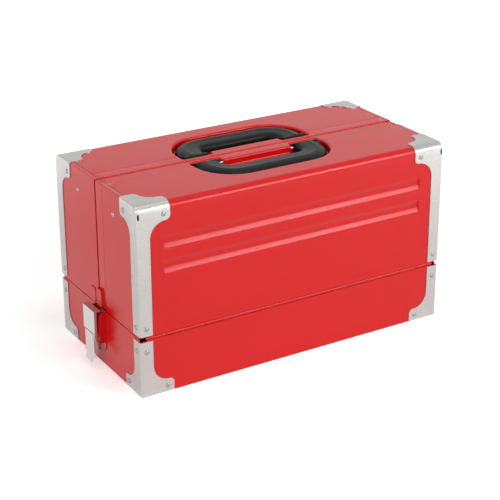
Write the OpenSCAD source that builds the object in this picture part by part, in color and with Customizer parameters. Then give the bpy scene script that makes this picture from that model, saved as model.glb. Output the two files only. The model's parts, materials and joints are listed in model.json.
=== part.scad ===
// Double-opening cantilever tool box in painted sheet steel.
// Two lids hinge on the long sides of the base; each one draws out two trays on parallel link bars.
// Millimetres. Origin at the middle of the base's underside, X along the case, -Y to the front, Z up.

/* [Case] */
// Length over the corner plates
case_l = 433; // [380:1:480]
// Depth over the corner plates
case_d = 220; // [216:0.5:232]
// Height over the corner plates
case_h = 240; // [239:0.5:252]
// Height of the hinge line
seam_z = 75; // [74:0.5:78]
// Thickness of the painted sheet
sheet_t = 1; // [0.8:0.1:1.2]
// Bend radius of the upright corners
fold_r = 1.5; // [1.3:0.1:2.5]
// Seam between the ends of base and lid
end_seam = 1.2; // [1:0.1:2]

/* [Lids] */
// Outside radius of the long top edge
edge_r = 9; // [6:0.5:12]
// Gap between the two lids along the middle
lid_gap = 1; // [0.6:0.1:2]
// Width of the folded flange on each end cap
flange_w = 5.6; // [4:0.2:7]
// Open groove between the flange and the lid skin
groove_w = 0.4; // [0.2:0.1:0.8]
// Width of the tab that the end cap tucks under the skin
tuck_w = 7; // [5:0.5:10]
// Width of the sunk band along the front lid's free edge
band_w = 17; // [12:0.5:22]
// Depth that the band is sunk
band_drop = 0.8; // [0.4:0.1:0.8]
// Length of each pressed rib
rib_l = 366; // [300:1:370]
// Height of each pressed rib
rib_h = 18.5; // [12:0.5:22]
// Depth of each pressed rib at its lower lip
rib_depth = 2.5; // [1.5:0.1:3]
// Height of the lower rib's lip
rib_z = 152.5; // [140:0.5:160]
// Spacing of the ribs
rib_pitch = 30.5; // [26:0.5:34]

/* [Hinges] */
// Radius of the hinge pin
hinge_pin_r = 1; // [0.8:0.05:1.2]
// Outside radius of the hinge barrel
barrel_r = 2; // [1.8:0.05:2.2]
// Distance of the hinge from the ends of the lid skin
hinge_inset = 1.5; // [0.5:0.1:20]
// Number of knuckles
knuckles = 16; // [8:2:24]
// Thickness of the hinge leaves
leaf_t = 1; // [0.8:0.1:1]
// Height of the hinge leaves
leaf_h = 8.2; // [6:0.2:8.2]

/* [Corner plates] */
// Thickness of the corner plates
plate_t = 1; // [0.8:0.1:1.4]
// Width of the upright strip on the long faces
strip_w = 16.5; // [14:0.5:18]
// Width of the upright strip on the end faces
strip_end_w = 17.5; // [14:0.5:20]
// Reach of the flares along the long faces
flare_l = 43; // [40:0.5:50]
// Reach of the flares along the end faces
flare_d = 42; // [40:0.5:50]
// Height of the lid plates' flares
lid_flare_h = 22; // [20:0.5:28]
// Height of the base plates' flares
base_flare_h = 17; // [15:0.5:22]
// Width of the arms on top of the lid
top_arm_w = 20; // [18:0.5:24]
// Radius of the flares' tips
tip_r = 6; // [4:0.5:7]

/* [Rivets] */
// Radius of the rivet shanks
rivet_r = 1.4; // [1.2:0.1:1.5]
// Radius of the rivet heads
head_r = 3.2; // [2.6:0.1:3.6]
// Height of the rivet heads
head_h = 1.5; // [1.2:0.1:1.8]

/* [Handle] */
// Half length of the folding handle
handle_half = 88; // [84:1:96]
// Reach of each handle half from the middle of the case
handle_reach = 71; // [66:0.5:74]
// Width of the grip
grip_w = 33; // [28:0.5:34]
// Thickness of the grip
grip_t = 11.4; // [10.5:0.1:11.4]
// Outer corner radius of the handle
handle_r = 46; // [40:0.5:48]
// Depth of the pocket that the handle folds into
pocket_depth = 10.7; // [10.5:0.1:12]
// Room round the handle in the pocket
pocket_room = 4; // [3:0.25:5]
// Half length of the island inside the handle
island_half = 50; // [46:0.5:52]
// Half width of the island
island_reach = 16.5; // [16:0.25:17]
// Half width of the neck between the handle halves
neck_half = 7; // [6:0.25:7.25]
// Radius of the handle's pivot pins
handle_pin_r = 1.5; // [1.2:0.1:1.8]
// Distance of the handle's pivots from the middle of the case
handle_pivot_y = 14; // [14:0.1:14.6]

/* [Links] */
// Thickness of the link bars
link_t = 1.5; // [1.2:0.1:1.5]
// Width of the link bars
link_w = 10; // [9:0.5:12]
// Radius of the link pins
link_pin_r = 2; // [1.6:0.1:2.2]
// Distance of the outer link's foot from the long face
foot_in = 18; // [17:0.5:19]
// Height of the links' feet
foot_z = 60; // [58:0.5:62]
// Spacing of the two parallel links
link_spread = 18.5; // [18:0.5:19]
// Distance of the inner link's top pin from the middle of the case
top_pin_y = 7.5; // [7.5:0.5:8.5]
// Distance of the top pins below the top trays' rim
top_pin_drop = 13; // [12:0.5:14]

/* [Trays] */
// Thickness of the tray sheet
tray_t = 1; // [0.8:0.1:1.2]
// Height of the middle trays' floor above the hinge line
tray_lift = 20; // [19:0.5:21]
// Height of the middle trays
mid_tray_h = 55; // [50:0.5:56]
// Room between the top trays' rim and the top of the case
tray_roof = 27; // [26:0.5:30]
// Clearance between the levels
level_gap = 3; // [2.5:0.1:4]
// Clearance between the trays and the middle of the case
tray_mid_gap = 2; // [1.5:0.1:2]
// Height of the folded hem round a tray
hem_h = 8; // [5:0.5:12]

/* [Latches] */
// Width of the latch's hook plate
latch_w = 31; // [30:0.5:34]
// Distance that the latch stands out from the base
latch_out = 15.4; // [15:0.1:16.5]
// Height of the lever's pivot
latch_z = 40; // [38:0.5:42]
// Distance of the hook's pivot below the lever's
latch_throw = 13; // [12:0.5:13.5]
// Thickness of the latch plates
latch_t = 1; // [0.8:0.1:1.2]
// Radius of the latch pins
latch_pin_r = 1.5; // [1.2:0.1:1.7]

/* [Fits] */
// Radial clearance of every running pin
run_gap = 0.06; // [0.02:0.01:0.1]
// Radial clearance of every fixed pin or rivet
seat_gap = 0.02; // [0.01:0.01:0.03]

/* [Hidden] */

$fn = 48;
// Faces that must cross are overlapped by this much
over = 1;

// Shell
half_l = case_l / 2 - plate_t;
half_d = case_d / 2 - plate_t;
top_z = case_h - plate_t;

// Hinge line and the edges that stand clear of it
hinge_y = half_d - sheet_t - leaf_t / 2;
skin_gap = barrel_r + 0.4;
leaf_gap = barrel_r + 0.3;
plate_gap = skin_gap + 1.1;
relief_r = skin_gap + 0.8;
knuckle_gap = 0.4;
skin_half = half_l - flange_w - groove_w;
hinge_l = 2 * (skin_half - hinge_inset);
knuckle_l = hinge_l / knuckles;
tuck_z = seam_z + leaf_gap + leaf_h + 0.5;

// Rivet places, from the case's outside faces
strip_rivet_x = case_l / 2 - strip_w / 2;
strip_rivet_y = case_d / 2 - 10.2;
strip_rivet_rise = 13;
base_rivet_drop = 17;
flare_rivet_x = case_l / 2 - flare_l + 8.5;
flare_rivet_y = case_d / 2 - flare_d + 8;
lid_rivet_z = case_h - 14;
base_rivet_z = 8;
tail_r = 2.2;
tail_h = 0.7;
stud_y = 48;
stud_z = case_h - tray_roof - 2;

// Lid keepers, from the middle of the case
keeper_t = 1.2;
keeper_clear = 0.3;
keeper_r = 3;
keeper_reach = 5;
front_keeper_y = 8;
front_keeper_h = 23;
rear_keeper_y = 9;
rear_keeper_w = 14;
rear_keeper_h = 19;

// Handle pocket
floor_z = top_z - pocket_depth;
pocket_x = handle_half + pocket_room;
pocket_y = handle_reach + pocket_room;
handle_floor_gap = 0.3;
handle_bottom = floor_z + handle_floor_gap;
knuckle_end_r = 5.4;
handle_pivot_z = handle_bottom + knuckle_end_r;

// Layers at each end, from the base wall inwards
wall_in = half_l - sheet_t;
link_plate_t = 1.5;
link_plate_in = wall_in - link_plate_t;
link_plate_y = strip_rivet_y - tail_r - 1.1;
link_out = link_plate_in - 0.5;
link_in = link_out - link_t;
tray_end = link_in - 0.5;
link_head_t = 0.7;
link_head_r = 3;
side_play = 0.1;

// Tray levels
tray_out = hinge_y - 7;
mid_floor = seam_z + tray_lift;
top_floor = mid_floor + mid_tray_h + level_gap;
top_rim = case_h - tray_roof;
top_tray_h = top_rim - top_floor;
mid_tray_fold = 2;
top_tray_fold = 3;

// The links' feet, and the step along them from one level to the next
foot_y = case_d / 2 - foot_in;
level_y = (foot_y - link_spread - top_pin_y) / 2;
level_z = (top_rim - top_pin_drop - foot_z) / 2;

// Latch layers, from the outside inwards
cheek_y = latch_w / 2 - 0.6;
arm_y = cheek_y - latch_t - 0.4;
lever_y = arm_y - latch_t - 0.4;
latch_x = half_l + 8.5;
hook_x = latch_x + 0.5;
hook_z = latch_z - latch_throw;
latch_face = half_l + latch_out;
latch_head_t = 0.9;
hook_top = seam_z + 1.5;
lever_top = latch_z + 5;
latch_head_r = 2.4;
latch_ear_r = 4;
hook_arm_in = latch_x + 3.2;
hook_flange_in = latch_x + 2.4;
bracket_low = latch_z - 18;
bracket_high = latch_z + 26;
cheek_out = latch_x + 3.5;
cheek_top = seam_z - 2;
foot_drop = 26;
foot_h = 7.5;

// ---- Helpers ----

// Extrude an outline drawn in (y, z) from x0 to x1
module along_x(x0, x1) {
    translate([x0, 0, 0])
        rotate([90, 0, 90])
            linear_extrude(x1 - x0)
                children();
}

// Extrude an outline drawn in (x, z) from y0 to y1
module along_y(y0, y1) {
    translate([0, y1, 0])
        rotate([90, 0, 0])
            linear_extrude(y1 - y0)
                children();
}

// A rod along X
module rod_x(x0, x1, r) {
    translate([x0, 0, 0])
        rotate([0, 90, 0])
            cylinder(r = r, h = x1 - x0);
}

// A rod along Y
module rod_y(y0, y1, r) {
    translate([0, y0, 0])
        rotate([-90, 0, 0])
            cylinder(r = r, h = y1 - y0);
}

// Put a piece drawn at the front right (+X, -Y) into another corner
module place(right, front) {
    mirror([right ? 0 : 1, 0, 0])
        mirror([0, front ? 0 : 1, 0])
            children();
}

// A rectangle with round corners, from (x0, y0) to (x1, y1)
module round_box(x0, y0, x1, y1, r) {
    translate([x0 + r, y0])
        square([x1 - x0 - 2 * r, y1 - y0]);
    translate([x0, y0 + r])
        square([x1 - x0, y1 - y0 - 2 * r]);
    for (x = [x0 + r, x1 - r], y = [y0 + r, y1 - r])
        translate([x, y])
            circle(r);
}

// A domed rivet along +Z: head on z = 0, shank down through the stack, flat tail
module rivet(stack) {
    dome_r = (head_r * head_r + head_h * head_h) / (2 * head_h);
    rotate_extrude()
        intersection() {
            translate([0, head_h - dome_r])
                circle(dome_r, $fn = 64);
            square([head_r, head_h]);
        }
    translate([0, 0, -stack - tail_h])
        cylinder(r = rivet_r, h = stack + tail_h + head_h / 2, $fn = 24);
    translate([0, 0, -stack - tail_h])
        cylinder(r = tail_r, h = tail_h, $fn = 24);
}

// Stand a rivet on the front face at (x, z), its head outside the corner plate
module front_rivet(x, z, stack) {
    translate([x, -case_d / 2, z])
        rotate([90, 0, 0])
            rivet(stack);
}

// Stand a rivet on the right end at (y, z), its head outside the face at depth x
module end_rivet(x, y, z, stack) {
    translate([x, y, z])
        rotate([0, 90, 0])
            rivet(stack);
}

// Drill the front face at (x, z)
module front_hole(x, z) {
    translate([x, 0, z])
        rod_y(-case_d / 2 - over, -half_d + 4, rivet_r + seat_gap);
}

// Drill the right end at (y, z)
module end_hole(y, z) {
    translate([0, y, z])
        rod_x(half_l - 4, case_l / 2 + over, rivet_r + seat_gap);
}

// ---- Base ----

// Holes for the four rivets of one base corner plate
module base_corner_holes() {
    front_hole(strip_rivet_x, seam_z - base_rivet_drop);
    front_hole(flare_rivet_x, base_rivet_z);
    end_hole(-strip_rivet_y, seam_z - base_rivet_drop);
    end_hole(-flare_rivet_y, base_rivet_z);
}

module base_block(inset, z0, z1) {
    translate([0, 0, z0])
        linear_extrude(z1 - z0)
            round_box(-half_l + inset, -half_d + inset, half_l - inset, half_d - inset, fold_r - inset);
}

module base_shell() {
    color("firebrick")
        difference() {
            base_block(0, 0, seam_z - end_seam / 2);
            base_block(sheet_t, sheet_t, seam_z);
            for (right = [false, true], front = [false, true])
                place(right, front) {
                    base_corner_holes();
                    translate([-over, -half_d - over, seam_z - skin_gap])
                        cube([wall_in + over, relief_r + 2 * over, skin_gap]);
                    translate([0, -hinge_y, seam_z])
                        rod_x(hinge_l / 2, half_l + over, relief_r);
                }
        }
}

module link_plate(right) {
    place(right, true)
        color("firebrick")
            difference() {
                along_x(link_plate_in, wall_in)
                    round_box(-link_plate_y, foot_z - link_w, link_plate_y, foot_z + link_w, 2);
                for (y = [foot_y, foot_y - link_spread], side = [-1, 1])
                    translate([0, side * y, foot_z])
                        rod_x(link_plate_in - over, wall_in + over, link_pin_r + seat_gap);
            }
}

// A headed pin through one link bar, standing on the inner side
module base_link_pin() {
    rod_x(link_in - side_play - link_head_t, wall_in, link_pin_r);
    rod_x(link_in - side_play - link_head_t, link_in - side_play, link_head_r);
}

module link_base_pins() {
    color("silver")
        for (right = [false, true], front = [false, true], y = [foot_y, foot_y - link_spread])
            place(right, front)
                translate([0, -y, foot_z])
                    base_link_pin();
}

// One leaf of a piano hinge, standing up or hanging down from the hinge line, with every second knuckle
module hinge_leaf(up, first) {
    turn = up ? 0 : 1;
    translate([0, -hinge_y, seam_z])
        mirror([0, 0, turn])
            difference() {
                union() {
                    translate([-hinge_l / 2, -leaf_t / 2, leaf_gap])
                        cube([hinge_l, leaf_t, leaf_h]);
                    for (k = [first : 2 : knuckles - 1])
                        translate([-hinge_l / 2 + k * knuckle_l + knuckle_gap / 2, 0, 0]) {
                            rod_x(0, knuckle_l - knuckle_gap, barrel_r);
                            translate([0, -leaf_t / 2, 0])
                                cube([knuckle_l - knuckle_gap, leaf_t, leaf_gap + over]);
                        }
                }
                rod_x(-hinge_l / 2 - over, hinge_l / 2 + over, hinge_pin_r + run_gap);
            }
}

module hinge_base_leaf(front) {
    place(true, front)
        color("firebrick")
            hinge_leaf(false, 0);
}

module hinge_pin(front) {
    place(true, front)
        color("silver")
            translate([0, -hinge_y, seam_z])
                rod_x(-hinge_l / 2 - 0.5, hinge_l / 2 + 0.5, hinge_pin_r);
}

// ---- Corner plates ----

// Outline of one face of a corner plate, its flare at the origin and its strip running up
module flare_outline(width, reach, flare_h, strip_l) {
    concave_r = reach - width - tip_r;
    square([width, strip_l]);
    square([reach - tip_r, flare_h]);
    square([reach, flare_h - tip_r]);
    translate([reach - tip_r, flare_h - tip_r])
        circle(tip_r);
    difference() {
        translate([width - over, flare_h - over])
            square(concave_r + over);
        translate([width + concave_r, flare_h + concave_r])
            circle(concave_r);
    }
}

// Right front corner plate of the base
module base_corner(right, front) {
    strip_l = seam_z - plate_gap;
    place(right, front)
        color("silver")
            difference() {
                linear_extrude(strip_l)
                    difference() {
                        round_box(-case_l / 2, -case_d / 2, case_l / 2, case_d / 2, fold_r + plate_t);
                        round_box(-half_l, -half_d, half_l, half_d, fold_r);
                    }
                difference() {
                    translate([-case_l, -case_d, -over])
                        cube([2 * case_l, 2 * case_d, case_h]);
                    along_y(-case_d / 2 - over, -half_d + over)
                        translate([case_l / 2, 0])
                            mirror([1, 0])
                                flare_outline(strip_w, flare_l, base_flare_h, strip_l);
                    along_x(half_l - over, case_l / 2 + over)
                        translate([-case_d / 2, 0])
                            flare_outline(strip_end_w, flare_d, base_flare_h, strip_l);
                }
                base_corner_holes();
            }
}

module base_corner_rivets() {
    color("silver")
        for (right = [false, true], front = [false, true])
            place(right, front) {
                front_rivet(strip_rivet_x, seam_z - base_rivet_drop, plate_t + sheet_t);
                front_rivet(flare_rivet_x, base_rivet_z, plate_t + sheet_t);
                end_rivet(case_l / 2, -strip_rivet_y, seam_z - base_rivet_drop, plate_t + sheet_t);
                end_rivet(case_l / 2, -flare_rivet_y, base_rivet_z, plate_t + sheet_t);
            }
}

// Right front corner plate of a lid: front, end and top faces, with the round long edge
module lid_corner(right, front) {
    strip_l = case_h - seam_z - plate_gap;
    place(right, front)
        color("silver")
            difference() {
                intersection() {
                    lid_block(-plate_t, false);
                    union() {
                        along_y(-case_d / 2 - over, -half_d + edge_r)
                            translate([case_l / 2, case_h])
                                rotate(180)
                                    flare_outline(strip_w, flare_l, lid_flare_h, strip_l);
                        along_x(half_l - over, case_l / 2 + over)
                            translate([-case_d / 2, case_h])
                                mirror([0, 1])
                                    flare_outline(strip_end_w, flare_d, lid_flare_h, strip_l);
                        translate([case_l / 2, -case_d / 2, top_z - edge_r])
                            linear_extrude(edge_r + plate_t + over)
                                mirror([1, 0])
                                    top_outline();
                    }
                }
                lid_block(0, true);
                lid_corner_holes();
            }
}

// Outline of a lid corner plate's top face, with a round-ended arm each way
module top_outline() {
    flare_outline(top_arm_w, flare_l, top_arm_w, flare_d - tip_r);
    round_box(0, 0, top_arm_w, flare_d, tip_r);
}

// ---- Lids ----

module lid_corner_holes() {
    front_hole(strip_rivet_x, seam_z + strip_rivet_rise);
    front_hole(flare_rivet_x, lid_rivet_z);
    end_hole(-strip_rivet_y, seam_z + strip_rivet_rise);
    end_hole(-flare_rivet_y, lid_rivet_z);
}

// The block a front lid fills, with every face moved in by inset; an open one runs on past its open sides
module lid_block(inset, open) {
    z0 = open ? 0 : seam_z + end_seam / 2;
    y1 = open ? over : -lid_gap / 2;
    round_y = -half_d + edge_r;
    round_z = top_z - edge_r;
    along_x(-half_l + inset, half_l - inset) {
        translate([-half_d + inset, z0])
            square([half_d - inset + y1, round_z - z0]);
        translate([round_y, z0])
            square([y1 - round_y, top_z - inset - z0]);
        translate([round_y, round_z])
            circle(edge_r - inset, $fn = 96);
    }
}

// What the sunk band takes off the block at the lid's free edge
module band_cut(inset) {
    step_y = -lid_gap / 2 - band_w - inset;
    drop = band_drop + inset;
    translate([-half_l - over, step_y, top_z - drop])
        cube([2 * half_l + 2 * over, band_w + inset + 2 * over, drop + over]);
    for (x = [-half_l - over, half_l - drop])
        translate([x, step_y, 0])
            cube([drop + over, band_w + inset + 2 * over, case_h]);
}

// The pocket of one handle half, grown by grow on every side but the top
module pocket(grow) {
    corner = handle_r + pocket_room + grow;
    x = pocket_x + grow;
    y = pocket_y + grow;
    translate([0, 0, floor_z - grow])
        linear_extrude(pocket_depth + grow + over)
            difference() {
                union() {
                    translate([-x, -y + corner])
                        square([2 * x, y - corner - neck_half + grow]);
                    translate([-x + corner, -y])
                        square([2 * (x - corner), y - neck_half + grow]);
                    for (side = [-1, 1])
                        translate([side * (x - corner), -y + corner])
                            circle(corner, $fn = 96);
                }
                round_box(-island_half + grow, -island_reach + grow, island_half - grow,
                    island_reach - grow, 3);
            }
}

// The two pressed ribs of a lid's long face, each a wedge that deepens down to a sharp lip
module ribs(grow) {
    for (k = [0, 1])
        along_x(-rib_l / 2 - grow, rib_l / 2 + grow)
            translate([-half_d, rib_z + k * rib_pitch])
                polygon([[-over, -over - grow], [0, -grow], [rib_depth + grow, 1 - grow],
                    [grow, rib_h + grow], [-over, rib_h + grow]]);
}

// The whole sheet of a lid, before it is parted into skin and end caps
module lid_sheet(banded) {
    difference() {
        lid_block(0, false);
        if (banded)
            band_cut(0);
        pocket(0);
        ribs(0);
        difference() {
            lid_block(sheet_t, true);
            if (banded)
                band_cut(sheet_t);
            pocket(sheet_t);
            ribs(sheet_t);
        }
        lid_corner_holes();
        mirror([1, 0, 0])
            lid_corner_holes();
    }
}

// Bores for the handle pins through the island's ends and the pocket's sides
module handle_bores() {
    translate([0, -handle_pivot_y, handle_pivot_z])
        rod_x(-pocket_x - 2 * over, pocket_x + 2 * over, handle_pin_r + seat_gap);
}

module lid_skin(front) {
    place(true, front)
        color("firebrick")
            difference() {
                intersection() {
                    lid_sheet(front);
                    translate([-skin_half, -case_d, seam_z + skin_gap])
                        cube([2 * skin_half, 2 * case_d, case_h]);
                }
                handle_bores();
            }
}

// End cap: the end wall, its folded flange and the tab tucked under the skin
module lid_end(right, front) {
    tuck_x = skin_half - tuck_w;
    place(right, front)
        color("firebrick")
            difference() {
                union() {
                    intersection() {
                        lid_sheet(front);
                        translate([skin_half + groove_w, -case_d, 0])
                            cube([flange_w + over, 2 * case_d, case_h]);
                    }
                    difference() {
                        intersection() {
                            lid_block(sheet_t, false);
                            translate([tuck_x, -case_d, tuck_z])
                                cube([tuck_w + groove_w + over, case_d - band_w - 2, case_h]);
                        }
                        lid_block(2 * sheet_t, true);
                    }
                }
                lid_corner_holes();
                end_hole(-stud_y, stud_z);
                translate([0, -hinge_y, seam_z])
                    rod_x(tuck_x, half_l + over, relief_r);
                translate([tuck_x, -half_d - over, seam_z - over])
                    cube([wall_in - tuck_x, 2 * over + sheet_t, skin_gap + over]);
            }
}

module hinge_lid_leaf(front) {
    place(true, front)
        color("firebrick")
            hinge_leaf(true, 1);
}

module lid_rivets(front) {
    color("silver")
        for (right = [false, true])
            place(right, front) {
                front_rivet(strip_rivet_x, seam_z + strip_rivet_rise, plate_t + 2 * sheet_t);
                front_rivet(flare_rivet_x, lid_rivet_z, plate_t + sheet_t);
                end_rivet(case_l / 2, -strip_rivet_y, seam_z + strip_rivet_rise, plate_t + sheet_t);
                end_rivet(case_l / 2, -flare_rivet_y, lid_rivet_z, plate_t + sheet_t);
            }
}

// Studs through the lid's ends that steady the top tray between them
module lid_studs(front) {
    color("silver")
        for (right = [false, true])
            place(right, front) {
                end_rivet(half_l, -stud_y, stud_z, sheet_t);
                translate([0, -stud_y, stud_z])
                    rod_x(link_in, wall_in, tail_r);
            }
}

module handle_pins(front) {
    color("silver")
        for (right = [false, true])
            place(right, front)
                translate([0, -handle_pivot_y, handle_pivot_z])
                    rod_x(island_half - sheet_t - 0.5, pocket_x + sheet_t + 0.5, handle_pin_r);
}

// Plates on the lids' ends that the latch closes against; the front ones reach over the rear lid
module front_lid_keepers() {
    color("orangered")
        for (right = [false, true])
            place(right, true)
                along_x(half_l + keeper_clear, half_l + keeper_clear + keeper_t)
                    keeper_outline(-front_keeper_y, keeper_reach, front_keeper_h);
}

// Pads in the sunk band that carry the front keepers
module front_keeper_pads() {
    color("orangered")
        for (right = [false, true])
            place(right, true)
                along_x(half_l - band_drop, half_l + keeper_clear)
                    keeper_outline(-front_keeper_y, -lid_gap / 2 - keeper_clear, front_keeper_h);
}

module rear_lid_keepers() {
    color("orangered")
        for (right = [false, true])
            place(right, true)
                along_x(half_l, half_l + keeper_t)
                    keeper_outline(rear_keeper_y, rear_keeper_y + rear_keeper_w, rear_keeper_h);
}

module keeper_outline(y0, y1, height) {
    round_box(y0, seam_z + end_seam, y1, seam_z + end_seam + height, keeper_r);
}

// ---- Handle ----

// Section of the grip: u runs from the inner side to the outer side, v up from the underside
module grip_section() {
    soft = 1.5;
    ridge = grip_w * 0.55;
    shoulder = grip_t * 0.82;
    flank = grip_t * 0.45;
    polygon([[soft, 0], [grip_w - soft, 0], [grip_w, soft], [grip_w, flank], [grip_w - 4, grip_t * 0.86],
        [grip_w - 9, grip_t * 0.97], [ridge, grip_t], [5, grip_t * 0.93], [1.5, shoulder], [0, flank],
        [0, soft]]);
}

// One half of the folding handle, lying in its pocket
module handle(front) {
    turn_x = handle_half - handle_r;
    turn_y = -handle_reach + handle_r;
    section_in = handle_r - grip_w;
    arm_in = handle_half - grip_w;
    place(true, front)
        color("dimgray")
            difference() {
                union() {
                    translate([0, 0, handle_bottom]) {
                        along_x(-turn_x, turn_x)
                            translate([-handle_reach + grip_w, 0])
                                mirror([1, 0])
                                    grip_section();
                        for (side = [0, 1])
                            mirror([side, 0, 0]) {
                                translate([turn_x, turn_y, 0])
                                    rotate([0, 0, -90])
                                        rotate_extrude(angle = 90, $fn = 96)
                                            translate([section_in, 0])
                                                grip_section();
                                along_y(turn_y, -handle_pivot_y)
                                    translate([arm_in, 0])
                                        grip_section();
                            }
                    }
                    for (side = [0, 1])
                        mirror([side, 0, 0])
                            translate([0, -handle_pivot_y, handle_pivot_z])
                                rod_x(arm_in, handle_half, knuckle_end_r);
                }
                translate([0, -handle_pivot_y, handle_pivot_z])
                    rod_x(-handle_half - over, handle_half + over, handle_pin_r + run_gap);
            }
}

// ---- Links and trays ----

// One level's step along the links, as [y, z] from a foot
function level(k) = [k * level_y, k * level_z];

// A pair of bars, one at each end, from the foot past the middle tray to the top tray
module links(front, y) {
    half = link_w / 2;
    length = 2 * norm([level_y, level_z]);
    lean = atan2(level_z, level_y);
    color("silver")
        for (right = [false, true])
            place(right, front)
                difference() {
                    translate([0, -y, foot_z])
                        along_x(link_in, link_out)
                            rotate(lean) {
                                translate([0, -half])
                                    square([length, link_w]);
                                circle(half);
                                translate([length, 0])
                                    circle(half);
                            }
                    for (k = [0, 1, 2])
                        translate([0, -y + level(k)[0], foot_z + level(k)[1]])
                            rod_x(link_in - over, link_out + over, link_pin_r + run_gap);
                }
}

// A tray with a folded hem, drilled for its four link pins
module tray(front, z, height, k, fold) {
    y0 = -tray_out;
    y1 = -tray_mid_gap;
    place(true, front)
        color("firebrick")
            difference() {
                translate([0, 0, z])
                    linear_extrude(height)
                        round_box(-tray_end, y0, tray_end, y1, fold);
                translate([0, 0, z + tray_t])
                    linear_extrude(height - tray_t - hem_h)
                        round_box(-tray_end + tray_t, y0 + tray_t, tray_end - tray_t, y1 - tray_t,
                            fold - tray_t);
                translate([0, 0, z + height - hem_h - 0.01])
                    linear_extrude(hem_h + over)
                        round_box(-tray_end + 2 * tray_t, y0 + 2 * tray_t, tray_end - 2 * tray_t,
                            y1 - 2 * tray_t, 1);
                for (y = [foot_y, foot_y - link_spread])
                    translate([0, -y + level(k)[0], foot_z + level(k)[1]])
                        rod_x(-tray_end - over, tray_end + over, link_pin_r + seat_gap);
            }
}

// Headed pins from a tray's end walls through its link bars
module tray_rivets(front, k) {
    color("silver")
        for (right = [false, true], y = [foot_y, foot_y - link_spread])
            place(right, front)
                translate([0, -y + level(k)[0], foot_z + level(k)[1]]) {
                    rod_x(tray_end - tray_t - link_head_t, link_out + side_play + link_head_t, link_pin_r);
                    rod_x(tray_end - tray_t - link_head_t, tray_end - tray_t, link_head_r);
                    rod_x(link_out + side_play, link_out + side_play + link_head_t, link_head_r);
                }
}

// ---- Latches ----

// Riveted bracket: a back plate and two cheeks that hold the lever's pin
module latch_bracket(right) {
    place(right, true)
        color("firebrick")
            difference() {
                union() {
                    translate([half_l, -cheek_y, bracket_low])
                        cube([latch_t, 2 * cheek_y, bracket_high - bracket_low]);
                    for (y = [-cheek_y, cheek_y - latch_t])
                        along_y(y, y + latch_t)
                            polygon([[half_l, latch_z - 8], [latch_x, latch_z - 8], [cheek_out, latch_z - 4],
                                [cheek_out, latch_z + 4], [latch_x + 1, latch_z + 10],
                                [latch_x + 1, cheek_top - 5], [latch_x - 3, cheek_top],
                                [half_l, cheek_top]]);
                }
                translate([latch_x, 0, latch_z])
                    rod_y(-latch_w, latch_w, latch_pin_r + seat_gap);
            }
}

module latch_pivot_pins() {
    color("silver")
        for (right = [false, true])
            place(right, true)
                translate([latch_x, 0, latch_z]) {
                    rod_y(-cheek_y - latch_head_t, cheek_y + latch_head_t, latch_pin_r);
                    rod_y(cheek_y, cheek_y + latch_head_t, latch_head_r);
                    rod_y(-cheek_y - latch_head_t, -cheek_y, latch_head_r);
                }
}

// Lever: a pressed plate with two cheeks on the pivot pin and a finger tip at its foot
module latch_lever(right) {
    foot = latch_z - foot_drop;
    place(right, true)
        color("gainsboro")
            difference() {
                union() {
                    translate([latch_face - latch_t, -lever_y, foot])
                        cube([latch_t, 2 * lever_y, lever_top - foot]);
                    along_x(latch_face - latch_t, latch_face)
                        round_box(-latch_w / 2, foot, latch_w / 2, foot + foot_h, 2.5);
                    along_y(-9, 9)
                        polygon([[latch_face - latch_t, foot + 1], [latch_face, foot + 1],
                            [latch_face + 3, foot - 6], [latch_face + 2, foot - 6.6]]);
                    for (y = [-lever_y, lever_y - latch_t]) {
                        along_y(y, y + latch_t)
                            polygon([[latch_x - 3.5, latch_z - 1], [hook_x - 3.5, hook_z],
                                [latch_x, foot + 6], [latch_face - latch_t / 2, foot + 1],
                                [latch_face - latch_t / 2, lever_top], [latch_x, latch_z + 4]]);
                        translate([latch_x, 0, latch_z])
                            rod_y(y, y + latch_t, latch_ear_r);
                        translate([hook_x, 0, hook_z])
                            rod_y(y, y + latch_t, latch_ear_r);
                    }
                }
                translate([latch_x, 0, latch_z])
                    rod_y(-latch_w, latch_w, latch_pin_r + run_gap);
                translate([hook_x, 0, hook_z])
                    rod_y(-latch_w, latch_w, latch_pin_r + run_gap);
            }
}

// Hook: two arms from the lever's lower pin up to a broad plate with a lip over the lid seam
module latch_hook(right) {
    web_z = lever_top + 1;
    place(right, true)
        color("gainsboro")
            difference() {
                union() {
                    translate([latch_face - latch_t, -latch_w / 2, web_z])
                        cube([latch_t, latch_w, hook_top - web_z]);
                    translate([latch_x - 2, -latch_w / 2, hook_top - latch_t])
                        cube([latch_face - latch_x + 2, latch_w, latch_t]);
                    for (y = [-arm_y, arm_y - latch_t]) {
                        along_y(y, y + latch_t)
                            polygon([[hook_x - 2.5, hook_z], [hook_arm_in, hook_z + 7],
                                [hook_arm_in, lever_top], [hook_flange_in, web_z + 4],
                                [hook_flange_in, hook_top - latch_t / 2],
                                [latch_face - latch_t / 2, hook_top - latch_t / 2],
                                [latch_face - latch_t / 2, web_z], [hook_x + 3.4, hook_z]]);
                        translate([hook_x, 0, hook_z])
                            rod_y(y, y + latch_t, 3.5);
                    }
                }
                translate([hook_x, 0, hook_z])
                    rod_y(-latch_w, latch_w, latch_pin_r + seat_gap);
            }
}

module latch_hook_pin(right) {
    place(right, true)
        color("silver")
            translate([hook_x, 0, hook_z]) {
                rod_y(-arm_y - latch_head_t, arm_y + latch_head_t, latch_pin_r);
                rod_y(arm_y, arm_y + latch_head_t, latch_head_r);
                rod_y(-arm_y - latch_head_t, -arm_y, latch_head_r);
            }
}

// ---- The nodes ----

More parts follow.
